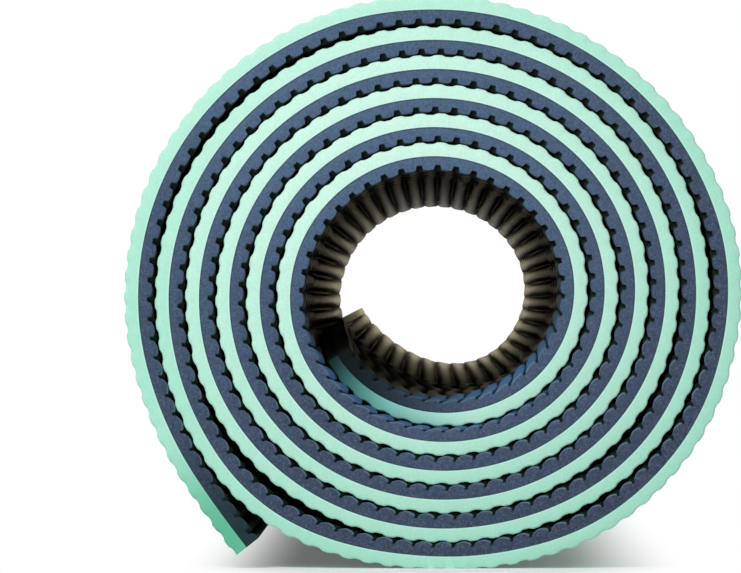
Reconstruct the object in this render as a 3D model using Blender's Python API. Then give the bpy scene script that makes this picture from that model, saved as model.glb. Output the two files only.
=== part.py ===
"""A rolled two-layer yoga mat at its real size, in metres, with +Z up.

The roll lies on its side, its axis along Y. The sheet is two strips of foam laminated face to face:
the base layer, outermost on the roll, has a gently waved face, and the top layer, innermost, has
rounded ribs parted by notches. Both follow one spiral, the bond line where they meet.
"""

import math

import bmesh
import bpy
import numpy as np

# The sheet, flat
MAT_LENGTH = 1.830
MAT_WIDTH = 0.610
BASE_THICKNESS = 0.00295
TOP_THICKNESS = 0.00320
BOND_CLEARANCE = 0.0003

# The texture, whose lines run along the roll's axis
RIB_PITCH = 0.00465
NOTCH_WIDTH = 0.0019
NOTCH_DEPTH = 0.0010
WAVE_DEPTH = 0.0004
CREST_LEAD_SHARE = 0.2

# The roll
CORE_RADIUS = 0.0273
TURN_CLEARANCE = 0.00065
START_ANGLE = math.radians(212)
OVAL_SHARE = 0.0234
LOBE_SHARE = 0.0039
LOBE_ANGLE = math.radians(-25)
FOOT_DEPTH = 0.0005

# Where the turns stand a little apart, how far each place lifts the layers outside it
RIGHT_LIFT = 0.00066
SIDE_LIFT = 0.00029
LEFT_LIFT = 0.00135
CROWN_LIFT = 0.00063

# Each loose place: the turn at its middle, half its reach in turns, and its lift
LOOSE_PLACES = (
    (4.31, 0.125, RIGHT_LIFT),
    (5.06, 0.125, LEFT_LIFT),
    (5.31, 0.125, SIDE_LIFT),
    (5.72, 0.195, CROWN_LIFT),
)

# The outer end of the sheet curls away from the turn below it
TAIL_REACH = 0.048
TAIL_LIFT = 0.00192

# A straight facet on a smooth face stays this close to the true curve
FACET_SAG = 0.00046

# How finely the spiral is sampled and its end found, and how near the welded points lie
SAMPLES_PER_TURN = 720
HALVINGS = 40
WELD_SHARE = 0.001
SHARP_ANGLE = math.radians(30)

TURN_PITCH = BASE_THICKNESS + TOP_THICKNESS + TURN_CLEARANCE


class BondLine:
    """The spiral where the layers meet, sampled finely and read by length along the sheet."""

    def __init__(self):
        self.end_turn = self.turn_where_sheet_ends()
        self.turns = np.linspace(0, self.end_turn, round(SAMPLES_PER_TURN * self.end_turn))
        self.points = self.points_at(self.turns, self.end_turn)
        self.lengths = running_length(self.points)
        along = np.gradient(self.points, axis=0)
        along /= np.linalg.norm(along, axis=1)[:, None]
        self.outward = np.stack([along[:, 1], -along[:, 0]], axis=1)

    @staticmethod
    def points_at(turns, end_turn):
        """The X and Z of places given in turns, from the roll's centre."""
        angle = START_ANGLE + math.tau * turns
        oval = OVAL_SHARE * np.cos(2 * angle)
        lobes = LOBE_SHARE * np.cos(3 * (angle - LOBE_ANGLE))
        radius = plain_radius(turns) * (1 + oval + lobes)
        radius += loose_lift(turns) + tail_lift(turns, end_turn)
        return np.stack([radius * np.cos(angle), radius * np.sin(angle)], axis=1)

    def turn_where_sheet_ends(self):
        """The number of turns that use up the sheet's length, by halving the interval."""
        low, high = 0.0, MAT_LENGTH / (math.tau * CORE_RADIUS)
        for _ in range(HALVINGS):
            middle = (low + high) / 2
            turns = np.linspace(0, middle, max(2, round(SAMPLES_PER_TURN * middle)))
            if running_length(self.points_at(turns, middle))[-1] < MAT_LENGTH:
                low = middle
            else:
                high = middle
        return high

    def offset(self, lengths, offsets):
        """The points at these lengths along the sheet, each moved outward by its offset."""
        base = [np.interp(lengths, self.lengths, self.points[:, k]) for k in (0, 1)]
        normal = [np.interp(lengths, self.lengths, self.outward[:, k]) for k in (0, 1)]
        return np.stack([base[k] + normal[k] * offsets for k in (0, 1)], axis=1)

    def facet_lengths(self):
        """Lengths along the sheet at which a smooth face has its corners."""
        found = [0.0]
        while found[-1] < self.lengths[-1]:
            turn = np.interp(found[-1], self.lengths, self.turns)
            found.append(found[-1] + math.sqrt(8 * FACET_SAG * plain_radius(turn)))
        found[-1] = self.lengths[-1]
        return np.array(found)


def running_length(points):
    """The length along a line of points, from its start to each of them."""
    steps = np.linalg.norm(np.diff(points, axis=0), axis=1)
    return np.concatenate([[0.0], np.cumsum(steps)])


def plain_radius(turns):
    """The radius of the plain spiral, before it is made oval and lifted."""
    return CORE_RADIUS + TURN_PITCH * turns


def hump(place):
    """A smooth rise to 1 at place 0, and back to 0 at -1 and 1."""
    return (1 + np.cos(math.pi * np.clip(place, -1, 1))) / 2


def loose_lift(turns):
    """How far the loose places lift the sheet. Each also lifts every later turn over it."""
    lift = np.zeros_like(turns)
    for middle, reach, height in LOOSE_PLACES:
        past = turns - middle
        lift += height * hump((past - np.clip(np.round(past), 0, None)) / reach)
    return lift


def tail_lift(turns, end_turn):
    """How far the outer end of the sheet curls off the roll."""
    reach = TAIL_REACH / (math.tau * plain_radius(end_turn))
    return TAIL_LIFT * np.clip((turns - end_turn) / reach + 1, 0, 1) ** 2


def rib_middles(bond_line):
    """The lengths along the sheet at which the notches between the ribs lie."""
    count = math.floor(bond_line.lengths[-1] / RIB_PITCH)
    return (np.arange(count) + 0.5) * RIB_PITCH


def ribbed_face(bond_line):
    """The top layer's outer face: flat-topped ribs with a notch between each two."""
    lengths = [0.0]
    depths = [0.0]
    for middle in rib_middles(bond_line):
        lengths += [middle - NOTCH_WIDTH / 2, middle, middle + NOTCH_WIDTH / 2]
        depths += [0.0, NOTCH_DEPTH, 0.0]
    lengths.append(bond_line.lengths[-1])
    depths.append(0.0)
    return bond_line.offset(np.array(lengths), np.array(depths) - TOP_THICKNESS)


def waved_face(bond_line):
    """The base layer's outer face, a crest and a valley to each rib."""
    lengths = [0.0]
    depths = [WAVE_DEPTH / 2]
    for middle in rib_middles(bond_line):
        crest = middle - CREST_LEAD_SHARE * RIB_PITCH
        lengths += [crest, crest + RIB_PITCH / 2]
        depths += [0.0, WAVE_DEPTH]
    inside = np.array(lengths) < bond_line.lengths[-1]
    lengths = np.append(np.array(lengths)[inside], bond_line.lengths[-1])
    depths = np.append(np.array(depths)[inside], WAVE_DEPTH / 2)
    return bond_line.offset(lengths, BASE_THICKNESS - depths)


def bonded_face(bond_line, side):
    """A layer's smooth face, half the clearance outside the bond line, or inside it at side -1."""
    return bond_line.offset(bond_line.facet_lengths(), side * BOND_CLEARANCE / 2)


def least_gap(points, line):
    """The least distance from any of the points to a line of straight stretches."""
    start, step = line[:-1], np.diff(line, axis=0)
    least = math.inf
    for point in points:
        share = np.clip(((point - start) * step).sum(axis=1) / (step**2).sum(axis=1), 0, 1)
        least = min(least, np.linalg.norm(start + share[:, None] * step - point, axis=1).min())
    return least


def foam(name, color, roughness):
    """A foam's material."""
    material = bpy.data.materials.new(name)
    material.use_nodes = True
    shader = material.node_tree.nodes["Principled BSDF"]
    shader.inputs["Base Color"].default_value = (*color, 1)
    shader.inputs["Roughness"].default_value = roughness
    shader.inputs["Metallic"].default_value = 0
    return material


def outline_curve(name, outline):
    """A flat curve along a closed outline, drawn out to the mat's width."""
    curve = bpy.data.curves.new(name, "CURVE")
    curve.dimensions = "2D"
    curve.fill_mode = "BOTH"
    curve.extrude = MAT_WIDTH / 2
    spline = curve.splines.new("POLY")
    spline.points.add(len(outline) - 1)
    for corner, (x, z) in zip(spline.points, outline):
        corner.co = (x, z, 0, 1)
    spline.use_cyclic_u = True
    return curve


def add_layer(name, outline, material, centre, collection):
    """One layer of the sheet: its rolled end view drawn out along the roll's axis."""
    guide = bpy.data.objects.new(name + "_outline", outline_curve(name, outline))
    collection.objects.link(guide)
    bpy.context.view_layer.update()
    evaluated = guide.evaluated_get(bpy.context.evaluated_depsgraph_get())
    mesh = bpy.data.meshes.new_from_object(evaluated)
    bpy.data.objects.remove(guide)
    welded = bmesh.new()
    welded.from_mesh(mesh)
    bmesh.ops.remove_doubles(welded, verts=welded.verts, dist=WELD_SHARE * BOND_CLEARANCE)
    welded.to_mesh(mesh)
    welded.free()
    mesh.shade_smooth()
    mesh.set_sharp_from_angle(angle=SHARP_ANGLE)
    mesh.materials.clear()
    mesh.materials.append(material)
    layer = bpy.data.objects.new(name, mesh)
    layer.rotation_euler = (math.radians(90), 0, 0)
    layer.parent = centre
    collection.objects.link(layer)


def main():
    for leftover in list(bpy.data.objects):
        bpy.data.objects.remove(leftover)
    collection = bpy.data.collections.new("yoga_mat")
    bpy.context.scene.collection.children.link(collection)

    bond_line = BondLine()
    waves = waved_face(bond_line)
    ribs = ribbed_face(bond_line)
    floor = waves[:, 1].min() + FOOT_DEPTH
    waves[:, 1] = np.maximum(waves[:, 1], floor)

    centre = bpy.data.objects.new("roll_centre", None)
    centre.empty_display_size = CORE_RADIUS
    centre.location = (-(waves[:, 0].min() + waves[:, 0].max()) / 2, 0, -floor)
    collection.objects.link(centre)

    base = np.concatenate([bonded_face(bond_line, 1), waves[::-1]])
    top = np.concatenate([ribs, bonded_face(bond_line, -1)[::-1]])
    add_layer("base_layer", base, foam("mint_foam", (0.53, 0.84, 0.71), 0.8), centre, collection)
    add_layer("top_layer", top, foam("navy_foam", (0.07, 0.11, 0.17), 0.7), centre, collection)

    print(f"{bond_line.end_turn:.2f} turns use up {bond_line.lengths[-1] * 1000:.0f} mm of sheet")
    print(f"least gap between the turns: {least_gap(ribs, waves) * 1000:.2f} mm")


main()
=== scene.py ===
"""A rolled two-layer foam exercise mat, lying on its side on a plain pale floor.

Each layer is made as a flat sheet, embossed with its ribs or waves, and rolled up along one spiral.
"""

import math

import bmesh
import bpy
import numpy as np
from bpy.props import FloatProperty, FloatVectorProperty, IntProperty, PointerProperty
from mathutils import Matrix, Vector


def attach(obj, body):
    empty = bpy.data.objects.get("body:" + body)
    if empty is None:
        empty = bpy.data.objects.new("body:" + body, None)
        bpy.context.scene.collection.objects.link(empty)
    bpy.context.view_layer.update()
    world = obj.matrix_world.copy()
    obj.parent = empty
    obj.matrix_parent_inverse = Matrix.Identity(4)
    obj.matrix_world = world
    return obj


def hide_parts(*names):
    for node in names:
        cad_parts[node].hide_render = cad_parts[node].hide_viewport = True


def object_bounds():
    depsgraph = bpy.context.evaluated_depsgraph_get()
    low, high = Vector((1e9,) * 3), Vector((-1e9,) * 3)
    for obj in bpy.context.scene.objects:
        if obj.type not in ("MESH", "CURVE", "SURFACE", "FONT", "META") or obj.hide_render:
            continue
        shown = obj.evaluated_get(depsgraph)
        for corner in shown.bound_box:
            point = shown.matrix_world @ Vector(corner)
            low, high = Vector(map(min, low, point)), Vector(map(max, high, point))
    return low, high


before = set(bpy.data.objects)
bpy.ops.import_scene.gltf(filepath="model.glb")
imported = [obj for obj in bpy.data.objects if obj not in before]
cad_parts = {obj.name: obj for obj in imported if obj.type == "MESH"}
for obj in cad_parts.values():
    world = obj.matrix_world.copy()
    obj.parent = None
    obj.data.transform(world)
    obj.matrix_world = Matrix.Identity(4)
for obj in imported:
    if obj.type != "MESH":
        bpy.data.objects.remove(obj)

bl_info = {
    "name": "Rolled Foam Mat",
    "version": (1, 0, 0),
    "blender": (4, 5, 0),
    "location": "View3D > Sidebar > Foam Mat",
    "description": "Rolls up a two-layer foam mat and lays it on a studio floor",
    "category": "Object",
}

CAD_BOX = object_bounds()
MM = 0.001

# Two places of a flat sheet that are nearer than this are the same
NEAR = 0.00001

# The photograph's frame, and where the roll's axis meets its near end in it
PHOTO_WIDTH, PHOTO_HEIGHT = 741, 573
ROLL_CENTRE_PX = (439.59, 292.35)
VANISHING_PX = (434.6, 301.5)
SENSOR_WIDTH = 0.036

# The spiral that both layers follow, in the same sizes as the frame's solids
START_ANGLE = math.radians(212)
TURN_PITCH = 0.0068
OVAL_SHARE = 0.0234
LOBE_SHARE = 0.0039
LOBE_ANGLE = math.radians(-25)
FOOT_DEPTH = 0.0005

# Where the turns stand apart: the turn at the middle, half the reach in turns, and the lift
LOOSE_PLACES = (
    (4.31, 0.125, 0.00066),
    (5.06, 0.125, 0.00135),
    (5.31, 0.125, 0.00029),
    (5.72, 0.195, 0.00063),
)

# The outer end of the sheet lifts off the turn below it, and its last stretch curls out
TAIL_REACH = 0.048
TAIL_LIFT = 0.00192
CURL_REACH = 0.020
CURL_LIFT = 0.00185
CURL_POWER = 2.4

# Small bends of the outermost turn: the turn at the middle, half the reach in turns, and the rise
SMALL_BENDS = (
    (5.04, 0.05, 0.00025),
    (5.13, 0.07, -0.00055),
    (5.25, 0.06, 0.00045),
    (5.43, 0.06, 0.00040),
    (5.67, 0.05, -0.00025),
    (5.83, 0.11, 0.00035),
    (6.00, 0.08, -0.00050),
)

# How finely the spiral is sampled, how many turns before the sheet, and how its end is found
SAMPLES_PER_TURN = 1440
BEFORE_START = 0.12
HALVINGS = 40

# How many more ribs the tight first turn squeezes in, over what length, and the start's phase
SQUEEZE = 1.35
SQUEEZE_REACH = 0.120
FIRST_RIB = -0.30

# A place's phase in its rib is 0 in the middle of a notch and this in the middle of the rib
RIB_MIDDLE = 0.5

# The phases at which a rib or a wave has a row of points, and how near the sheet's ends none is
RIB_STATIONS = (-0.37, -0.28, -0.21, -0.134, 0.134, 0.21, 0.28, 0.37, 0.5)
WAVE_STATIONS = (-0.46, -0.38, -0.28, -0.1, 0.04, 0.12, 0.22, 0.36)
STATION_MARGIN = 0.03

# The phases between which a wave rises to its crest, and falls again
CREST_RISE = (-0.52, -0.26)
CREST_FALL = (0.0, 0.26)

# The rounding of a cut edge: depth from the cut plane, and how far the face draws back there
SHOULDER = ((0.0, 0.00042), (0.00012, 0.00020), (0.00045, 0.0))

# At the cut no rib or wave is out of its place, and from this depth on they wander in full
WANDER_DEPTH = 2 * MM

# Just inside the cut the ribs step aside, by a share of the rib pitch and within a depth
SIDE_STEP = 0.42
SIDE_STEP_DEPTH = 0.0015

# Where along the sheet the ribs are drawn back further at the cut: the middle and half the reach
SOFT_EDGES = ((0.036, 0.050), (0.213, 0.050))

# How far they drop there on the two sides of a rib, and the phases between which that changes
SOFT_DROPS = (0.00095, 0.00035)
SOFT_PHASES = (0.2, 0.85)

# How much shallower the notches are there, and how deep from the cut all this reaches
SHALLOWER_NOTCH = 0.00015
SOFT_DEPTH = 0.0015

# The ribbed face's bellies, behind the soft edges: the middle, half the reach and the height
BELLIES = ((0.050, 0.045, 0.00105), (0.193, 0.026, 0.00065))
BELLY_DEPTH = 0.0025

# How far below the roll's centre, in shares of the radius, a place begins to be low, and is low
LOW_SHARES = (-0.3, 0.3)

# Low in the roll the ribs are rounder at their sides
LOW_ROUNDING = 0.00030

# Low in the roll the notches are pinched near the cut: by what share of the rib pitch, and where
PINCH = 0.070
PINCHED_PHASES = (0.13, 0.40)
PINCH_DEPTH = 0.008

# Ribs in the bore have shallow dips at first, then are rounder and calmer for a part of its depth
ROUNDER_RIBS = 0.00060
DIP_DEPTH = 0.00024
CALM_FROM = (0.060, 0.140)
CALM_UNTIL = (0.430, 0.530)
CALM_SHARE = 0.50

# The free start of the sheet, inside the roll, and how far it bends and slides
FIRST_WHOLE_RIB = 0.0022
FLAP_REACH = 0.062
FLAP_BEND = math.radians(16)
FLAP_SKEW = 0.8
FLAP_SLIDE = 0.0055

# By this depth from the near cut it has this share of its bend, and the rest by the far cut
FLAP_DEPTH = 0.090
FLAP_DEPTH_SHARE = 0.75

# How far its edge is drawn in from the near cut, and over what length of the sheet
START_RECESS = 0.012
START_RECESS_REACH = 0.040

# What shows of the embossed faces: the first turn's ribs, and the last turn's waves
OPEN_RIBS_END = 0.215
OPEN_WAVES_TURN = 5.04

# Over what length their wandering fades out at the ends of these, and at the sheet's own ends
MEANDER_FADE = 0.03
END_FADE = 0.006

# Edges longer than this are cut into steps: so many on the flap, and so many in each meander
LONG_EDGE = 0.010
FLAP_STEPS = 24
WAVE_STEPS = 5
RIB_STEPS = 6

# Faces that meet at more than this angle keep a sharp edge
SHARP_ANGLE = math.radians(50)

# The line along the bond that shows at the cut, its share in each foam, and its sides' blur
MINT_LINE = 0.34 * MM
MINT_LINE_SHARE = 0.45
NAVY_LINE = 0.38 * MM
NAVY_LINE_SHARE = 0.8
LINE_BLUR = 0.11 * MM

# The navy foam's thickness between which a notch turns into a rib, and how much more in the bore
RIB_FACE = (2.50 * MM, 3.00 * MM)
RIB_FACE_INSIDE = (0.60 * MM, 0.46 * MM)

# The thickness between which a rib's gloss grows at its crown, by how much, and its gloss before
CROWN_FACE = (3.33 * MM, 3.44 * MM)
CROWN_GLOSS = 0.33
RIB_GLOSS = 0.02

# Depths from the cut at which one tone or gloss gives way to the next
MOULDED_FROM = (0.0, 0.0002)
CLOSED_FROM = (0.0001, 0.0004)
BEHIND_RIM = (0.0002, 0.0005)
GLOSS_FROM = (0.0004, 0.0015)
FLAP_INSIDE = (0.0, 0.012)
BORE_FROM = (0.006, 0.022)
BORE_RIBS_FROM = (0.008, 0.060)

# Lengths along the sheet over which the painted shade at the start gives way, and where the ribs
# lie closed in painted shade
MINT_START_SHADE_REACH = (-0.001, 0.018)
MINT_LATER_SHADE_REACH = (0.003, 0.040)
NAVY_START_SHADE_REACH = (0.001, 0.046)
RIBS_CLOSED = (0.240, 0.270)

# How far before the sheet's end its painted shade begins and is full, and its share there
MINT_END_SHADE_REACH = (0.033, 0.006)
NAVY_END_SHADE_REACH = (0.033, 0.004)
END_SHADE_SHARE = 0.85

# Where the outermost turn's mint tone deepens, by its distance from the centre, and how much
OUTER_TURN = (0.057, 0.064)
OUTER_DEEPENING = 0.3

# Painted shade: the foams darken with the distance from this place, X and Z from the roll's centre
LIGHTEST_PLACE = (-0.012, 0.025)
PAINTED_SHADE_REACH = 0.102

# Patches of painted shade on the navy cut face, and of painted light where the share is below 0: X
# and Z from the roll's centre, the reach, and how much darker
LOCAL_SHADE_PATCHES = (
    (-0.027, -0.027, 0.026, 0.22),
    (-0.040, -0.002, 0.016, 0.18),
    (-0.045, 0.045, 0.042, -0.28),
)

# Lumps to the metre in the foams' grain and in the navy foam's plum specks, and the grain's depth
GRAIN_SCALE = 2300.0
PLUM_SCALE = 1300.0
GRAIN_DEPTH = 0.00012

# The grain at which mint's grain tone begins, and between which the navy foam's specks grow
MINT_GRAIN_FROM = 0.4
PALE_SPECKS = (0.50, 0.70)
DARK_SPECKS = (0.50, 0.34)
SPECK_SHARE = 0.45
PLUM_SPECKS = (0.50, 0.66)
PLUM_SHARE = 0.35

# The colour of the floor, and of its glow and the sky
PALE = (0.90, 0.90, 0.90)
WHITE = (1.0, 1.0, 1.0)

# Tones of the mint foam, beside those in the panel; those at the start and the end are painted
# shade
MINT_LINE_TONE = (0.62, 0.92, 0.90)
MINT_GRAIN_TONE = (0.30, 0.66, 0.52)
MINT_START_SHADE = (0.012, 0.045, 0.045)
MINT_LATER_SHADE = (0.15, 0.56, 0.50)
MINT_END_SHADE = (0.075, 0.46, 0.27)

# Tones of the navy foam at the cut, beside those in the panel; that at the end is painted shade
NAVY_LINE_TONE = (0.040, 0.072, 0.082)
PALE_SPECK_TONE = (0.15, 0.21, 0.32)
DARK_SPECK_TONE = (0.022, 0.034, 0.055)
PLUM_SPECK_TONE = (0.095, 0.088, 0.150)
NAVY_END_SHADE = (0.008, 0.030, 0.032)

# Painted light and shade on the navy foam's ribbed face: lit low in the bore, shaded high in it,
# notches and closed turns in shade, rims lit low and shaded high, the flap's start in shade, and
# deep inside a painted warm reflection with its notches in shade
LOW_NOTCH_SHADE = (0.006, 0.018, 0.040)
HIGH_NOTCH_SHADE = (0.009, 0.016, 0.015)
DEEP_NOTCH_WARM_SHADE = (0.034, 0.033, 0.022)
HIGH_RIB_SHADE = (0.030, 0.048, 0.050)
DEEP_RIB_WARM_REFLECTION = (0.040, 0.037, 0.030)
LOW_RIM_HIGHLIGHT = (0.115, 0.185, 0.255)
HIGH_RIM_SHADE = (0.013, 0.027, 0.024)
CLOSED_RIBS_SHADE = (0.002, 0.008, 0.006)
FLAP_EDGE_SHADE = (0.003, 0.007, 0.007)
FLAP_FACE_SHADE = (0.050, 0.050, 0.034)

# The high, painted-shade tones begin this far below the roll's centre, and are full at its height
HIGH_FROM = 0.02

# The floor's glow to a camera: its share beside the roll, and where it grows to white
GLOW_NEAR = 0.12
GLOW_REACH = (0.030, 0.060)

# The key lamp, and a lamp behind the roll that only its gloss reflects
KEY_PLACE = (-0.32, -0.905, 0.78)
KEY_SIZE = 0.35
BACK_DISTANCE = 1.0
BACK_SIZE = 0.7
BACK_POWER = 3.4
BACK_COLOUR = (1.0, 0.84, 0.45)


class SheetSizes(bpy.types.PropertyGroup):
    """The flat sheet and its texture."""

    length: FloatProperty(name="Length", description="Length of the flat sheet",
                          default=1.830, unit="LENGTH")
    width: FloatProperty(name="Width", description="Width of the sheet, the depth of the roll",
                         default=0.610, unit="LENGTH")
    wave_crest: FloatProperty(name="Wave Crest", description="Base layer's thickness at a crest",
                              default=3.20 * MM, unit="LENGTH")
    wave_depth: FloatProperty(name="Wave Depth", description="Fall from a crest to a valley",
                              default=0.42 * MM, unit="LENGTH")
    rib_height: FloatProperty(name="Rib Height", description="Top layer's thickness at a rib",
                              default=3.46 * MM, unit="LENGTH")
    rib_crown: FloatProperty(name="Rib Crown", description="How far a rib's middle stands proud",
                             default=0.17 * MM, unit="LENGTH")
    notch_depth: FloatProperty(name="Notch Depth", description="Depth of the notch between ribs",
                               default=1.05 * MM, unit="LENGTH")
    notch_floor: FloatProperty(name="Notch Floor", description="Width of the notch at its floor",
                               default=1.25 * MM, unit="LENGTH")
    notch_mouth: FloatProperty(name="Notch Mouth", description="Width of the notch at its mouth",
                               default=1.95 * MM, unit="LENGTH")
    rib_pitch: FloatProperty(name="Rib Pitch", description="Distance from rib to rib",
                             default=4.65 * MM, unit="LENGTH")
    meander: FloatProperty(name="Meander", description="How far a rib wanders to either side",
                           default=1.00 * MM, unit="LENGTH")
    meanders: IntProperty(name="Meanders", description="Meanders across the mat's width",
                          default=18, min=1)


class RollSizes(bpy.types.PropertyGroup):
    """How the sheet is rolled up."""

    core_radius: FloatProperty(name="Core Radius", description="Radius at the start of the sheet",
                               default=27.3 * MM, unit="LENGTH")


class FoamColours(bpy.types.PropertyGroup):
    """The colours of the two foams, as lit and shaded copies that paint light and shade."""

    # The light and deep tones are painted light and painted shade, mixed by place on the roll
    base_lit: FloatVectorProperty(name="Base, Light", description="Base layer's lighter tone",
                                    default=(0.64, 0.925, 0.805), size=3, subtype="COLOR")
    base_shaded: FloatVectorProperty(name="Base, Deep", description="Base layer's deeper tone",
                                   default=(0.425, 0.822, 0.66), size=3, subtype="COLOR")
    top_lit: FloatVectorProperty(name="Top, Light", description="Top layer's lighter tone",
                                   default=(0.084, 0.148, 0.250), size=3, subtype="COLOR")
    top_shaded: FloatVectorProperty(name="Top, Deep", description="Top layer's deeper tone",
                                  default=(0.035, 0.053, 0.089), size=3, subtype="COLOR")
    # A painted lit copy of the ribs, for low in the bore where light falls on them
    top_ribs_lit: FloatVectorProperty(name="Top, Skin", description="Top layer's ribs, low in the bore",
                                  default=(0.050, 0.120, 0.235), size=3, subtype="COLOR")


class StudioSettings(bpy.types.PropertyGroup):
    """The floor, the light and the camera."""

    floor_size: FloatProperty(name="Floor Size", description="Side of the floor",
                              default=6.0, unit="LENGTH")
    sky: FloatProperty(name="Sky", description="Strength of the light from all round",
                       default=0.40, min=0)
    key: FloatProperty(name="Key Light", description="Power of the key light, in watts",
                       default=6.2, min=0)
    camera_distance: FloatProperty(name="Camera Distance", description="Camera to the near end",
                                   default=1.608, unit="LENGTH")
    focal_length: FloatProperty(name="Focal Length", description="Camera's lens, in millimetres",
                                default=341.15, subtype="DISTANCE_CAMERA")


def smooth_step(share):
    """A smooth rise from 0 to 1."""
    share = np.clip(share, 0, 1)
    return share * share * (3 - 2 * share)


def rise(place, low, high):
    """A smooth rise from 0 at the low place to 1 at the high one."""
    return smooth_step((place - low) / (high - low))


def hump(place, middle, reach):
    """A smooth rise to 1 at the middle, and back to 0 at its reach to either side."""
    return (1 + np.cos(math.pi * np.clip((place - middle) / reach, -1, 1))) / 2


def running_length(points):
    """The length along a line of points, from its start to each of them."""
    steps = np.linalg.norm(np.diff(points, axis=0), axis=1)
    return np.concatenate([[0.0], np.cumsum(steps)])


def columns_at(places, known_places, known):
    """Two columns of numbers, read at these places between the known ones."""
    return np.stack([np.interp(places, known_places, column) for column in known.T], axis=1)


class Roll:
    """The spiral of the bond line between the layers, and the places of the sheet on it."""

    def __init__(self, sheet, core_radius):
        self.sheet = sheet
        self.core_radius = core_radius
        self.end_turn = self.turn_where_sheet_ends()
        count = round(SAMPLES_PER_TURN * (self.end_turn + BEFORE_START))
        self.turns = np.linspace(-BEFORE_START, self.end_turn, count)
        self.points = self.points_at(self.turns, self.end_turn)
        self.reaches = np.linalg.norm(self.points, axis=1)
        lengths = running_length(self.points)
        self.lengths = lengths - np.interp(0, self.turns, lengths)
        along = np.gradient(self.points, axis=0)
        along /= np.linalg.norm(along, axis=1)[:, None]
        self.outward = np.stack([along[:, 1], -along[:, 0]], axis=1)
        self.bend_flap()
        outline = self.points + self.outward * sheet.wave_crest
        self.floor = outline[:, 1].min() + FOOT_DEPTH
        self.centre = np.array([-(outline[:, 0].min() + outline[:, 0].max()) / 2, -self.floor])

    def plain_radius(self, turns):
        """The radius of the plain spiral, before it is made oval and lifted."""
        return self.core_radius + TURN_PITCH * turns

    def points_at(self, turns, end_turn):
        """The X and Z of places given in turns, from the roll's centre."""
        angle = START_ANGLE + math.tau * turns
        oval = OVAL_SHARE * np.cos(2 * angle)
        lobes = LOBE_SHARE * np.cos(3 * (angle - LOBE_ANGLE))
        radius = self.plain_radius(turns) * (1 + oval + lobes)
        for middle, reach, lift in LOOSE_PLACES:
            past = turns - middle
            radius = radius + lift * hump(past - np.clip(np.round(past), 0, None), 0, reach)
        for *place, lift in SMALL_BENDS:
            radius = radius + lift * hump(turns, *place)
        to_end = (end_turn - turns) * math.tau * self.plain_radius(end_turn)
        radius = radius + TAIL_LIFT * np.clip(1 - to_end / TAIL_REACH, 0, 1) ** 2
        radius = radius + CURL_LIFT * np.clip(1 - to_end / CURL_REACH, 0, 1) ** CURL_POWER
        return np.stack([radius * np.cos(angle), radius * np.sin(angle)], axis=1)

    def turn_where_sheet_ends(self):
        """The number of turns that use up the sheet's length, by halving the interval."""
        low, high = 0.0, self.sheet.length / (math.tau * self.core_radius)
        for _ in range(HALVINGS):
            middle = (low + high) / 2
            turns = np.linspace(0, middle, max(2, round(SAMPLES_PER_TURN * middle)))
            if running_length(self.points_at(turns, middle))[-1] < self.sheet.length:
                low = middle
            else:
                high = middle
        return high

    def bend_flap(self):
        """How far the free start moves, and its outward side turns, where it bends most."""
        self.flap_lengths = np.linspace(0, FLAP_REACH, SAMPLES_PER_TURN)
        share = self.flap_lengths / FLAP_REACH
        plain = columns_at(self.flap_lengths, self.lengths, self.points)
        outward = columns_at(self.flap_lengths, self.lengths, self.outward)
        heading = np.arctan2(outward[:, 0], -outward[:, 1])
        heading -= FLAP_BEND * np.sin(math.pi * share**FLAP_SKEW) ** 2
        along = np.stack([np.cos(heading), np.sin(heading)], axis=1)
        # Over the whole flap, share * (1 - share) adds up to a sixth of its reach
        stretch = 1 + 6 * FLAP_SLIDE / FLAP_REACH * share * (1 - share)
        steps = (along * stretch[:, None])[1:] * FLAP_REACH / (SAMPLES_PER_TURN - 1)
        bent = np.concatenate([[[0.0, 0.0]], np.cumsum(steps, axis=0)])
        self.flap_shift = bent - bent[-1] + plain[-1] - plain
        self.flap_turn = np.stack([along[:, 1], -along[:, 0]], axis=1) - outward

    def ribs_passed(self, lengths):
        """How many notches lie before these lengths, as a number that grows smoothly."""
        squeeze = SQUEEZE * (1 - np.exp(-np.maximum(lengths, 0) / SQUEEZE_REACH))
        return lengths / self.sheet.rib_pitch + squeeze + FIRST_RIB

    def stations(self, shares):
        """The lengths at which a layer has its rows of points, the same few in every rib."""
        fine = np.linspace(0, self.sheet.length, round(SAMPLES_PER_TURN * self.end_turn))
        counts = self.ribs_passed(fine)
        ribs = np.arange(math.floor(counts[0]), math.ceil(counts[-1]) + 1)
        wanted = (ribs[:, None] + np.array(shares)[None, :]).ravel()
        first, last = counts[0] + STATION_MARGIN, counts[-1] - STATION_MARGIN
        wanted = wanted[(wanted > first) & (wanted < last)]
        inner = np.interp(wanted, counts, fine)
        return np.concatenate([[0.0], inner, [self.sheet.length]])

    def place(self, lengths, offsets, across):
        """The point of each place: length along the sheet, offset from the bond, and Y."""
        depth = across + self.sheet.width / 2
        inside = FLAP_DEPTH_SHARE * rise(depth, 0, FLAP_DEPTH)
        inside = (inside + (1 - FLAP_DEPTH_SHARE) * depth / self.sheet.width)[:, None]
        spot = columns_at(lengths, self.lengths, self.points)
        spot += columns_at(lengths, self.flap_lengths, self.flap_shift) * inside
        out = columns_at(lengths, self.lengths, self.outward)
        out += columns_at(lengths, self.flap_lengths, self.flap_turn) * inside
        out /= np.linalg.norm(out, axis=1)[:, None]
        x, z = (spot + out * offsets[:, None]).T
        z = np.maximum(z, self.floor)
        recess = START_RECESS * smooth_step(1 - lengths / START_RECESS_REACH)
        y = across + recess * np.clip(0.5 - across / self.sheet.width, 0, 1)
        return np.stack([x + self.centre[0], y, z + self.centre[1]], axis=1)


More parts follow.
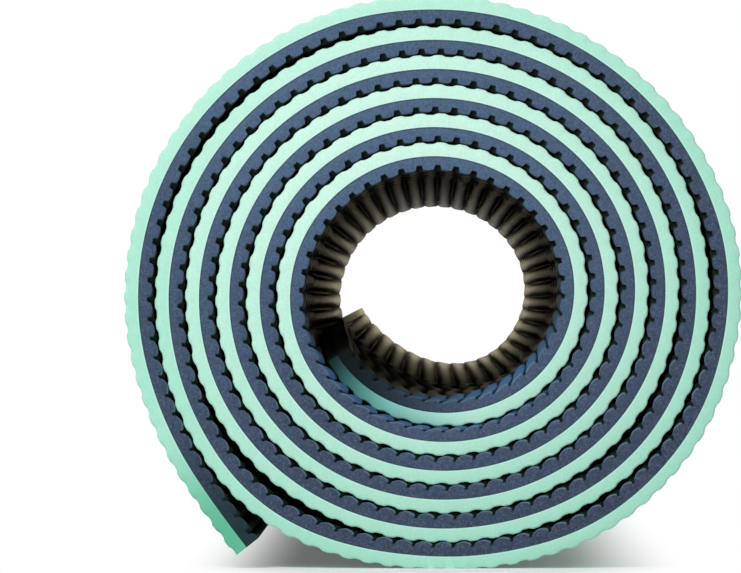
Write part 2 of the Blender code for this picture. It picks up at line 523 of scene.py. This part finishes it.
def from_rib_middle(phase, sheet):
    """How far a place is from the middle of its rib, 0 there and 1 at the notch."""
    half_rib = (sheet.rib_pitch - sheet.notch_mouth) / 2
    return np.clip((RIB_MIDDLE - np.abs(phase)) * sheet.rib_pitch / half_rib, 0, 1)


def notch_share(phase, sheet):
    """How deep a place lies in its notch, from 0 on a rib to 1 on the notch's floor."""
    away = np.abs(phase) * sheet.rib_pitch
    floor, mouth = sheet.notch_floor / 2, sheet.notch_mouth / 2
    return smooth_step((mouth - away) / (mouth - floor))


def ribbed_offset(phase, sheet):
    """The top layer's ribbed face, as an offset from the bond."""
    fall = sheet.rib_crown * from_rib_middle(phase, sheet) ** 2
    return -(sheet.rib_height - fall - sheet.notch_depth * notch_share(phase, sheet))


def waved_offset(phase, sheet):
    """The base layer's waved face, as an offset from the bond."""
    risen = rise(phase, *CREST_RISE) + rise(phase - 1, *CREST_RISE)
    fallen = rise(phase, *CREST_FALL)
    return sheet.wave_crest - sheet.wave_depth * (1 - np.clip(risen - fallen, 0, 1))


def open_share(lengths, open_range, sheet_length):
    """1 in the open range, falling to 0 at each end of it that isn't the sheet's own end."""
    low, high = open_range
    share = smooth_step((lengths - low) / MEANDER_FADE + (low <= 0))
    return share * smooth_step((high - lengths) / MEANDER_FADE + (high >= sheet_length))


def select_only(thing):
    """Selects this object alone and makes it active."""
    bpy.ops.object.select_all(action="DESELECT")
    thing.select_set(True)
    bpy.context.view_layer.objects.active = thing


def across_rows(sheet, *deeper):
    """The rows of points across the width: the rounded edges, and the plain run between."""
    half = sheet.width / 2
    near = [-half + depth for depth, _ in SHOULDER] + [-half + depth for depth in deeper]
    return np.array(near + [-y for y in reversed(near)])


def flat_sheet(name, stations, rows, thickness):
    """A closed flat sheet at its true size, patterned face at Z = thickness and bond at Z = 0."""
    bpy.ops.mesh.primitive_grid_add(
        x_subdivisions=len(stations) - 1,
        y_subdivisions=len(rows) - 1,
        size=2,
        calc_uvs=False,
    )
    layer = bpy.context.object
    layer.name = layer.data.name = name
    bpy.ops.object.mode_set(mode="EDIT")
    bpy.ops.mesh.select_all(action="SELECT")
    bpy.ops.mesh.extrude_region_move(TRANSFORM_OT_translate={"value": (0, 0, thickness)})
    bpy.ops.object.mode_set(mode="OBJECT")
    points = read_points(layer)
    column = np.rint((points[:, 0] + 1) / 2 * (len(stations) - 1)).astype(int)
    row = np.rint((points[:, 1] + 1) / 2 * (len(rows) - 1)).astype(int)
    points[:, 0] = stations[column]
    points[:, 1] = rows[row]
    write_points(layer, points)
    return layer


def read_points(layer):
    """The mesh's points as an array."""
    points = np.empty(len(layer.data.vertices) * 3)
    layer.data.vertices.foreach_get("co", points)
    return points.reshape(-1, 3)


def write_points(layer, points):
    """Moves the mesh's points."""
    layer.data.vertices.foreach_set("co", points.ravel())
    layer.data.update()


def select_edges(layer, wanted):
    """Selects the edges whose two ends pass this test, and leaves the layer in edit mode."""
    bpy.ops.object.mode_set(mode="EDIT")
    bpy.ops.mesh.select_mode(type="EDGE")
    bpy.ops.mesh.select_all(action="DESELECT")
    shape = bmesh.from_edit_mesh(layer.data)
    for edge in shape.edges:
        if wanted(*(corner.co for corner in edge.verts)):
            edge.select_set(True)
    bmesh.update_edit_mesh(layer.data)


def join_bond_rows(layer, width):
    """Joins the bonded face's narrow edge strips with the plain run between them."""

    def is_inner_row(a, b):
        on_bond = max(abs(a.z), abs(b.z)) < NEAR
        return on_bond and abs(a.y - b.y) < NEAR and abs(a.y) < width / 2 - NEAR

    select_edges(layer, is_inner_row)
    bpy.ops.mesh.dissolve_edges(use_verts=True)
    bpy.ops.object.mode_set(mode="OBJECT")


def cut_across(layer, height, low, high, *cuts):
    """Cuts the long edges of one face, between two lengths, into steps, and these again."""

    def crosses(a, b):
        on_face = abs(a.z - height) < NEAR and abs(b.z - height) < NEAR
        in_range = low <= a.x <= high and abs(a.x - b.x) < NEAR
        return on_face and in_range and abs(a.y - b.y) > LONG_EDGE

    for count in cuts:
        select_edges(layer, crosses)
        bpy.ops.mesh.subdivide(number_cuts=count - 1)
        bpy.ops.object.mode_set(mode="OBJECT")


def wander_at(across, sheet):
    """How a rib wanders to its sides across the width, from -1 to 1, and 0 at the cuts."""
    from_cut = sheet.width / 2 - np.abs(across)
    wave = np.sin(math.tau * sheet.meanders * (across / sheet.width + 0.5))
    return wave * smooth_step(from_cut / WANDER_DEPTH)


def bore_shape(across, phase, sheet):
    """How far the ribbed face draws back in the bore, and how much its wandering is calmed."""
    front = across + sheet.width / 2
    settled = rise(front, *CALM_FROM)
    calm = settled * (1 - rise(front, *CALM_UNTIL))
    dips = DIP_DEPTH * (1 - np.cos(math.tau * sheet.meanders * front / sheet.width)) / 2
    rounder = ROUNDER_RIBS * from_rib_middle(phase, sheet) ** 2
    return dips * (1 - settled) + rounder * calm, calm


def rib_details(roll, lengths, across, phase, shown):
    """How far the ribbed face draws back and steps aside, and the share of its wander it keeps."""
    sheet = roll.sheet
    from_cut = sheet.width / 2 - np.abs(across)
    height_share = np.interp(lengths, roll.lengths, roll.points[:, 1] / roll.reaches)
    low_share = rise(-height_share, *LOW_SHARES)
    soft = sum(hump(lengths, *place) for place in SOFT_EDGES)
    notch = notch_share(phase, sheet)
    first_drop, last_drop = SOFT_DROPS
    drop = first_drop + (last_drop - first_drop) * rise(phase % 1, *SOFT_PHASES)
    softened = (drop * (1 - notch) - SHALLOWER_NOTCH * notch) * soft
    retreat = softened * (1 - smooth_step(from_cut / SOFT_DEPTH))
    sides = from_rib_middle(phase, sheet) ** 2 * (1 - notch)
    retreat += LOW_ROUNDING * sides * low_share * (1 - soft)
    drawn_back, calm = bore_shape(across, phase, sheet)
    retreat += drawn_back * shown
    belly = sum(swell * hump(lengths, *place) for *place, swell in BELLIES)
    retreat -= belly * smooth_step(from_cut / BELLY_DEPTH)
    aside = SIDE_STEP * sheet.rib_pitch * smooth_step(from_cut / SIDE_STEP_DEPTH)
    aside *= np.clip(1 - shown + soft, 0, 1)
    pinch = PINCH * sheet.rib_pitch * (1 - rise(np.abs(phase), *PINCHED_PHASES))
    pinch *= np.sign(phase) * low_share * (1 - smooth_step(from_cut / PINCH_DEPTH))
    return retreat, aside - pinch, 1 - CALM_SHARE * calm


def roll_up(layer, roll, face_offset, open_range, rows, details=None):
    """Embosses the flat sheet's patterned face and rolls the sheet up."""
    sheet = roll.sheet
    points = read_points(layer)
    lengths, across, height = points.T
    patterned = np.abs(height) > MM / 2
    phase = roll.ribs_passed(lengths)
    phase -= np.floor(phase + RIB_MIDDLE)
    phase = np.where(lengths < FIRST_WHOLE_RIB, RIB_MIDDLE, phase)
    full = face_offset(phase, sheet)
    from_cut = sheet.width / 2 - np.abs(across)
    depths, retreats = zip(*SHOULDER)
    retreat = np.interp(from_cut, depths, retreats)
    shown = open_share(lengths, open_range, sheet.length)
    wander = wander_at(across, sheet)
    aside = 0.0
    if details:
        drawn_back, aside, kept = details(roll, lengths, across, phase, shown)
        retreat += drawn_back
        wander *= kept
    offsets = np.where(patterned, full - np.sign(full) * retreat, 0.0)
    straight = np.interp(across, rows, wander_at(rows, sheet))
    wander = straight + (wander - straight) * shown
    ends = smooth_step(lengths / END_FADE) * smooth_step((sheet.length - lengths) / END_FADE)
    moved = lengths + np.where(patterned, (sheet.meander * wander + aside) * ends, 0)
    write_points(layer, roll.place(moved, offsets, across))
    height = np.where(patterned, full, 0.0)
    for name, values in (("along", lengths), ("height", height), ("inward", from_cut)):
        attribute = layer.data.attributes.new(name, "FLOAT", "POINT")
        attribute.data.foreach_set("value", values)


def finish_layer(layer, material, node):
    """Smooths the layer, gives it its foam and lets it stand for its solid."""
    select_only(layer)
    bpy.ops.object.mode_set(mode="EDIT")
    bpy.ops.mesh.select_all(action="SELECT")
    bpy.ops.mesh.normals_make_consistent(inside=False)
    bpy.ops.object.mode_set(mode="OBJECT")
    bpy.ops.object.shade_smooth_by_angle(angle=SHARP_ANGLE)
    layer.data.materials.append(material)
    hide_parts(node)
    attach(layer, "root")


class Value:
    """A number in a shader, on which arithmetic adds Math nodes."""

    def __init__(self, nodes, socket):
        self.nodes = nodes
        self.socket = socket

    def math(self, operation, *others):
        """This value put through a Math node with the others."""
        inputs = dict(enumerate((self, *others)))
        node = self.nodes.add("ShaderNodeMath", {"operation": operation}, inputs)
        return Value(self.nodes, node.outputs[0])

    def __add__(self, other):
        return self.math("ADD", other)

    def __mul__(self, other):
        return self.math("MULTIPLY", other)

    def __sub__(self, other):
        return self.math("SUBTRACT", other)

    def __rsub__(self, other):
        return self.nodes.number(other).math("SUBTRACT", self)

    __radd__ = __add__
    __rmul__ = __mul__

    def step(self, low, high):
        """A smooth rise from 0 at low to 1 at high."""
        node = self.nodes.add(
            "ShaderNodeMapRange",
            {"interpolation_type": "SMOOTHSTEP"},
            {"Value": self, "From Min": low, "From Max": high, "To Min": 0.0, "To Max": 1.0},
        )
        return Value(self.nodes, node.outputs[0])

    def band(self, low, high, soft):
        """1 between low and high, with soft sides."""
        return self.step(low - soft, low + soft) * (1 - self.step(high - soft, high + soft))


class Nodes:
    """The nodes of a material or of the world, under construction."""

    def __init__(self, owner, output):
        owner.use_nodes = True
        self.tree = owner.node_tree
        self.output = self.tree.nodes[output]

    def connect(self, socket, value):
        """Links a value or a socket to this socket, or sets it to a plain number or colour."""
        value = getattr(value, "socket", value)
        if isinstance(value, bpy.types.NodeSocket):
            self.tree.links.new(value, socket)
        else:
            socket.default_value = value

    def add(self, kind, settings=None, inputs=None):
        """A node of this kind, its settings first and then its sockets' values or links."""
        node = self.tree.nodes.new(kind)
        for name, value in (settings or {}).items():
            setattr(node, name, value)
        for name, value in (inputs or {}).items():
            self.connect(node.inputs[name], value)
        return node

    def number(self, value):
        """A plain number."""
        node = self.add("ShaderNodeValue")
        node.outputs[0].default_value = value
        return Value(self, node.outputs[0])

    def mix_glow(self, share, plain, glow):
        """Shows this share of glow to a camera, gloss and glass, and all else the plain shader."""
        path = self.add("ShaderNodeLightPath")
        seen = Value(self, path.outputs["Is Camera Ray"])
        for ray in ("Is Glossy Ray", "Is Transmission Ray"):
            seen = seen.math("MAXIMUM", Value(self, path.outputs[ray]))
        inputs = {0: seen * share, 1: plain.outputs[0], 2: glow.outputs[0]}
        mixed = self.add("ShaderNodeMixShader", None, inputs)
        self.connect(self.output.inputs["Surface"], mixed.outputs[0])


class Finish(Nodes):
    """A material under construction."""

    def __init__(self, name):
        self.material = bpy.data.materials.new(name)
        super().__init__(self.material, "Material Output")
        self.shader = self.tree.nodes["Principled BSDF"]
        self.place = self.add("ShaderNodeTexCoord").outputs["Object"]

    def attribute(self, name):
        """A number that the mesh carries at each point."""
        node = self.add("ShaderNodeAttribute", {"attribute_name": name})
        return Value(self, node.outputs["Fac"])

    def axis(self, name):
        """One of the object's coordinates."""
        node = self.add("ShaderNodeSeparateXYZ", None, {0: self.place})
        return Value(self, node.outputs[name])

    def noise(self, scale, detail, roughness):
        """Soft noise from 0 to 1, with this many lumps to the metre."""
        inputs = {"Vector": self.place, "Scale": scale, "Detail": detail, "Roughness": roughness}
        node = self.add("ShaderNodeTexNoise", None, inputs)
        return Value(self, node.outputs["Fac"])

    def mix(self, share, first, second):
        """Two colours mixed, each a socket or a plain colour."""
        inputs = {0: share}
        for place, colour in ((6, first), (7, second)):
            linked = isinstance(colour, bpy.types.NodeSocket)
            inputs[place] = colour if linked else opaque(colour)
        settings = {"data_type": "RGBA", "clamp_factor": True}
        return self.add("ShaderNodeMix", settings, inputs).outputs[2]

    def set(self, **inputs):
        """Sets or links the shader's own sockets, named with underscores for spaces."""
        for name, value in inputs.items():
            self.connect(self.shader.inputs[name.replace("_", " ")], value)

    def bump(self, height, distance, strength):
        """A Bump node on this height."""
        inputs = {"Height": height, "Distance": distance, "Strength": strength}
        return self.add("ShaderNodeBump", None, inputs).outputs["Normal"]


def opaque(colour):
    """A colour with full alpha."""
    return (*colour, 1.0)


def distance_from(finish, x, z):
    """How far a place is from the line at this X and Z that runs along the roll."""
    right = finish.axis("X") - float(x)
    up = finish.axis("Z") - float(z)
    return (right * right + up * up).math("SQRT")


def painted_shade_over_roll(finish, roll):
    """Painted shade: 0 in the roll's upper left, rising to 1 low on its right."""
    x, z = roll.centre + LIGHTEST_PLACE
    return distance_from(finish, x, z).step(0.0, PAINTED_SHADE_REACH)


def line_at_cut(finish, low, high):
    """1 between two heights on the cut face, for the line along the bond, and 0 elsewhere."""
    moulded = finish.attribute("inward").step(*MOULDED_FROM)
    return finish.attribute("height").band(low, high, LINE_BLUR) * (1 - moulded)


def painted_end_shade(along, roll, before_end):
    """How much painted shade the end of the sheet has."""
    begins, full = before_end
    return along.step(roll.sheet.length - begins, roll.sheet.length - full) * END_SHADE_SHARE


def base_foam(colours, roll):
    """Fine-celled mint foam, paler along the bond, with painted shade at the sheet's start and end
    and away from the roll's upper left.
    """
    finish = Finish("mint_foam")
    outermost = distance_from(finish, *roll.centre).step(*OUTER_TURN)
    # Painted shade, darker away from the roll's upper left
    tone = painted_shade_over_roll(finish, roll) + outermost * OUTER_DEEPENING
    colour = finish.mix(tone, colours.base_lit, colours.base_shaded)
    line = line_at_cut(finish, 0.0, MINT_LINE) * MINT_LINE_SHARE
    colour = finish.mix(line, colour, MINT_LINE_TONE)
    grain = finish.noise(GRAIN_SCALE, detail=3.0, roughness=0.6)
    colour = finish.mix(grain - MINT_GRAIN_FROM, colour, MINT_GRAIN_TONE)
    along = finish.attribute("along")
    # Painted shade at the sheet's start, darkest at its edge
    colour = finish.mix(along.step(*MINT_LATER_SHADE_REACH), MINT_LATER_SHADE, colour)
    colour = finish.mix(along.step(*MINT_START_SHADE_REACH), MINT_START_SHADE, colour)
    # Painted shade at the sheet's end
    colour = finish.mix(painted_end_shade(along, roll, MINT_END_SHADE_REACH), colour, MINT_END_SHADE)
    finish.set(
        Base_Color=colour,
        Roughness=0.85,
        Specular_IOR_Level=0.25,
        Normal=finish.bump(grain, GRAIN_DEPTH, strength=0.35),
    )
    return finish.material


def navy_at_cut(finish, colours, roll, grain):
    """The navy foam's cut edge: painted shade and light by place, the line along the bond, and
    specks.
    """
    # Painted shade, darker away from the roll's upper left, with patches of painted shade and light
    tone = painted_shade_over_roll(finish, roll)
    x, z = roll.centre
    for right, up, reach, deeper in LOCAL_SHADE_PATCHES:
        tone = tone + distance_from(finish, x + right, z + up).step(reach, 0.0) * deeper
    colour = finish.mix(tone, colours.top_lit, colours.top_shaded)
    line = line_at_cut(finish, -NAVY_LINE, 0.0) * NAVY_LINE_SHARE
    colour = finish.mix(line, colour, NAVY_LINE_TONE)
    colour = finish.mix(grain.step(*PALE_SPECKS) * SPECK_SHARE, colour, PALE_SPECK_TONE)
    colour = finish.mix(grain.step(*DARK_SPECKS) * SPECK_SHARE, colour, DARK_SPECK_TONE)
    plum = finish.noise(PLUM_SCALE, detail=2.0, roughness=0.6)
    return finish.mix(plum.step(*PLUM_SPECKS) * PLUM_SHARE, colour, PLUM_SPECK_TONE)


def navy_on_ribs(finish, colours, roll):
    """The navy foam's ribbed face with painted light and shade: ribs and notches, in the first turn
    and deep in the bore.
    """
    inward = finish.attribute("inward")
    inside = inward.step(*BORE_RIBS_FROM)
    low, high = (face + inside * more for face, more in zip(RIB_FACE, RIB_FACE_INSIDE))
    rib = (0 - finish.attribute("height")).step(low, high)
    centre_height = float(roll.centre[1])
    # Painted light and shade: ribs and notches low in the bore are lit, high in it shaded, notches
    # darker
    upper = finish.axis("Z").step(centre_height - HIGH_FROM, centre_height)
    notch_shade = finish.mix(upper, LOW_NOTCH_SHADE, HIGH_NOTCH_SHADE)
    rib_lit_and_shaded = finish.mix(upper, colours.top_ribs_lit, HIGH_RIB_SHADE)
    front = finish.mix(rib, notch_shade, rib_lit_and_shaded)
    # Deep in the bore a painted warm reflection on the ribs, and painted shade in the notches
    deep = finish.mix(rib, DEEP_NOTCH_WARM_SHADE, DEEP_RIB_WARM_REFLECTION)
    colour = finish.mix(inward.step(*BORE_FROM), front, deep)
    # Painted shade on the ribbed face of the closed turns, between one turn and the next
    closed_shade = finish.attribute("along").step(*RIBS_CLOSED) * inward.step(*CLOSED_FROM)
    colour = finish.mix(closed_shade, colour, CLOSED_RIBS_SHADE)
    # Painted highlight on the rounded rims low in the bore, painted shade on those high in it
    rim_light_and_shade = rib * (1 - inward.step(*BEHIND_RIM))
    return finish.mix(rim_light_and_shade, colour, finish.mix(upper, LOW_RIM_HIGHLIGHT, HIGH_RIM_SHADE))


def top_foam(colours, roll):
    """Dense navy foam with pale and dark specks, and a faint gloss on its ribs."""
    finish = Finish("navy_foam")
    inward = finish.attribute("inward")
    grain = finish.noise(GRAIN_SCALE, detail=3.0, roughness=0.7)
    cut_edge = navy_at_cut(finish, colours, roll, grain)
    ribbed_face = navy_on_ribs(finish, colours, roll)
    colour = finish.mix(inward.step(*MOULDED_FROM), cut_edge, ribbed_face)
    along = finish.attribute("along")
    # Painted shade on the flap's start, darkest at its edge by the cut
    flap_shade = finish.mix(inward.step(*FLAP_INSIDE), FLAP_EDGE_SHADE, FLAP_FACE_SHADE)
    colour = finish.mix(along.step(*NAVY_START_SHADE_REACH), flap_shade, colour)
    # Painted shade at the sheet's end
    colour = finish.mix(painted_end_shade(along, roll, NAVY_END_SHADE_REACH), colour, NAVY_END_SHADE)
    crown = (0 - finish.attribute("height")).step(*CROWN_FACE)
    finish.set(
        Base_Color=colour,
        Roughness=0.80,
        Specular_IOR_Level=0.15,
        Coat_Weight=inward.step(*GLOSS_FROM) * (crown * CROWN_GLOSS + RIB_GLOSS),
        Coat_Roughness=0.42,
        Normal=finish.bump(grain, GRAIN_DEPTH, strength=0.5),
    )
    return finish.material


def current_roll(context):
    """The roll that the panel's sizes describe."""
    return Roll(context.scene.mat_sheet, context.scene.mat_roll.core_radius)


class MAT_OT_base_layer(bpy.types.Operator):
    """Roll up the mint base layer, its waved face outward"""

    bl_idname = "mat.base_layer"
    bl_label = "Roll Base Layer"

    def execute(self, context):
        roll = current_roll(context)
        sheet = roll.sheet
        opened = (float(np.interp(OPEN_WAVES_TURN, roll.turns, roll.lengths)), sheet.length)
        rows = across_rows(sheet)
        bpy.ops.object.select_all(action="DESELECT")
        layer = flat_sheet("mint_base", roll.stations(WAVE_STATIONS), rows, sheet.wave_crest)
        join_bond_rows(layer, sheet.width)
        for height in (0.0, sheet.wave_crest):
            cut_across(layer, height, 0.0, FLAP_REACH, FLAP_STEPS)
        cut_across(layer, sheet.wave_crest, *opened, sheet.meanders, WAVE_STEPS)
        roll_up(layer, roll, waved_offset, opened, rows)
        foam = base_foam(context.scene.mat_colours, roll)
        finish_layer(layer, foam, "base_layer")
        return {"FINISHED"}


class MAT_OT_top_layer(bpy.types.Operator):
    """Roll up the navy top layer, its ribbed face inward"""

    bl_idname = "mat.top_layer"
    bl_label = "Roll Top Layer"

    def execute(self, context):
        roll = current_roll(context)
        sheet = roll.sheet
        opened = (0.0, OPEN_RIBS_END)
        rows = across_rows(sheet, SIDE_STEP_DEPTH)
        bpy.ops.object.select_all(action="DESELECT")
        layer = flat_sheet("navy_top", roll.stations(RIB_STATIONS), rows, -sheet.rib_height)
        join_bond_rows(layer, sheet.width)
        cut_across(layer, 0.0, 0.0, FLAP_REACH, FLAP_STEPS)
        cut_across(layer, -sheet.rib_height, *opened, sheet.meanders, RIB_STEPS)
        roll_up(layer, roll, ribbed_offset, opened, rows, rib_details)
        foam = top_foam(context.scene.mat_colours, roll)
        finish_layer(layer, foam, "top_layer")
        return {"FINISHED"}


def studio_floor(size):
    """A pale floor that a camera sees white, with the roll's shadow on it."""
    bpy.ops.mesh.primitive_plane_add(size=size)
    floor = bpy.context.object
    floor.name = floor.data.name = "studio_floor"
    finish = Finish("pale_floor")
    finish.set(Base_Color=opaque(PALE), Roughness=0.6, Specular_IOR_Level=0.2)
    glow = finish.add("ShaderNodeEmission", None, {"Color": opaque(WHITE), "Strength": 1.0})
    aside = finish.axis("X").math("ABSOLUTE")
    ahead = (finish.axis("Y").math("ABSOLUTE") - CAD_BOX[1][1]).math("MAXIMUM", 0.0)
    away = (aside * aside + ahead * ahead).math("SQRT").step(*GLOW_REACH)
    finish.mix_glow(away * (1 - GLOW_NEAR) + GLOW_NEAR, finish.shader, glow)
    floor.data.materials.append(finish.material)


def studio_sky(strength):
    """White light from all round, and a white background."""
    world = bpy.data.worlds.new("studio_sky")
    bpy.context.scene.world = world
    nodes = Nodes(world, "World Output")
    plain = nodes.tree.nodes["Background"]
    plain.inputs["Color"].default_value = opaque(WHITE)
    plain.inputs["Strength"].default_value = strength
    glow = nodes.add("ShaderNodeBackground", None, {"Color": opaque(WHITE), "Strength": 1.0})
    nodes.mix_glow(1.0, plain, glow)


def round_lamp(name, place, target, size, power):
    """A round lamp that shines at the target."""
    bpy.ops.object.light_add(type="AREA", location=place)
    lamp = bpy.context.object
    lamp.name = lamp.data.name = name
    lamp.data.shape = "DISK"
    lamp.data.size = size
    lamp.data.energy = power
    aim_at(lamp, Vector(target))
    return lamp


def studio_lamps(key, roll):
    """A soft lamp at the upper left, near the front, and the lamp behind the roll."""
    height = float(roll.centre[1])
    round_lamp("key_lamp", KEY_PLACE, (0.0, -roll.sheet.width / 2, height), KEY_SIZE, key)
    place = (0.0, BACK_DISTANCE, height)
    lamp = round_lamp("back_lamp", place, (0.0, 0.0, height), BACK_SIZE, BACK_POWER)
    lamp.data.color = BACK_COLOUR
    lamp.visible_camera = False
    lamp.visible_diffuse = False


def aim_at(thing, target):
    """Turns a lamp or camera to look at a point."""
    thing.rotation_euler = (target - thing.location).to_track_quat("-Z", "Y").to_euler()


def studio_camera(roll, distance, focal_length):
    """A camera that sees the roll's near end where the photograph shows it."""
    focal_px = focal_length * MM / SENSOR_WIDTH * PHOTO_WIDTH
    scale = distance / focal_px
    near = -roll.sheet.width / 2
    x = roll.centre[0] + (VANISHING_PX[0] - ROLL_CENTRE_PX[0]) * scale
    z = roll.centre[1] - (VANISHING_PX[1] - ROLL_CENTRE_PX[1]) * scale
    bpy.ops.object.camera_add(location=(x, near - distance, z))
    camera = bpy.context.object
    camera.name = camera.data.name = "photo_camera"
    camera.data.sensor_width = SENSOR_WIDTH / MM
    camera.data.lens = focal_length
    camera.data.clip_start = 0.01
    camera.data.clip_end = 50
    middle_x = x - (VANISHING_PX[0] - PHOTO_WIDTH / 2) * scale
    middle_z = z + (VANISHING_PX[1] - PHOTO_HEIGHT / 2) * scale
    aim_at(camera, Vector((middle_x, near, middle_z)))
    bpy.context.scene.camera = camera


class MAT_OT_studio(bpy.types.Operator):
    """Lay the floor and set up the light and the camera"""

    bl_idname = "mat.studio"
    bl_label = "Set Up Studio"

    def execute(self, context):
        settings = context.scene.mat_studio
        roll = current_roll(context)
        bpy.ops.object.select_all(action="DESELECT")
        studio_floor(settings.floor_size)
        studio_sky(settings.sky)
        studio_lamps(settings.key, roll)
        studio_camera(roll, settings.camera_distance, settings.focal_length)
        context.scene.view_settings.view_transform = "Standard"
        return {"FINISHED"}


class MAT_PT_sidebar(bpy.types.Panel):
    """The mat's sizes and colours, and the steps that make it"""

    bl_idname = "MAT_PT_sidebar"
    bl_label = "Foam Mat"
    bl_space_type = "VIEW_3D"
    bl_region_type = "UI"
    bl_category = "Foam Mat"

    def draw(self, context):
        for group in GROUPS:
            settings = getattr(context.scene, group)
            box = self.layout.box()
            for name in settings.__annotations__:
                box.prop(settings, name)
        for step in STEPS:
            self.layout.operator(step.bl_idname)


GROUPS = {
    "mat_sheet": SheetSizes,
    "mat_roll": RollSizes,
    "mat_colours": FoamColours,
    "mat_studio": StudioSettings,
}
STEPS = (MAT_OT_base_layer, MAT_OT_top_layer, MAT_OT_studio)


def register():
    """Makes the settings, the operators and the panel known to Blender."""
    for kind in (*GROUPS.values(), *STEPS, MAT_PT_sidebar):
        bpy.utils.register_class(kind)
    for name, kind in GROUPS.items():
        setattr(bpy.types.Scene, name, PointerProperty(type=kind))


def unregister():
    """Takes them away again."""
    for name in GROUPS:
        delattr(bpy.types.Scene, name)
    for kind in (MAT_PT_sidebar, *reversed(STEPS), *reversed(GROUPS.values())):
        bpy.utils.unregister_class(kind)


def main():
    """Makes the mat and its studio."""
    register()
    bpy.ops.mat.base_layer()
    bpy.ops.mat.top_layer()
    bpy.ops.mat.studio()


if __name__ == "__main__":
    main()
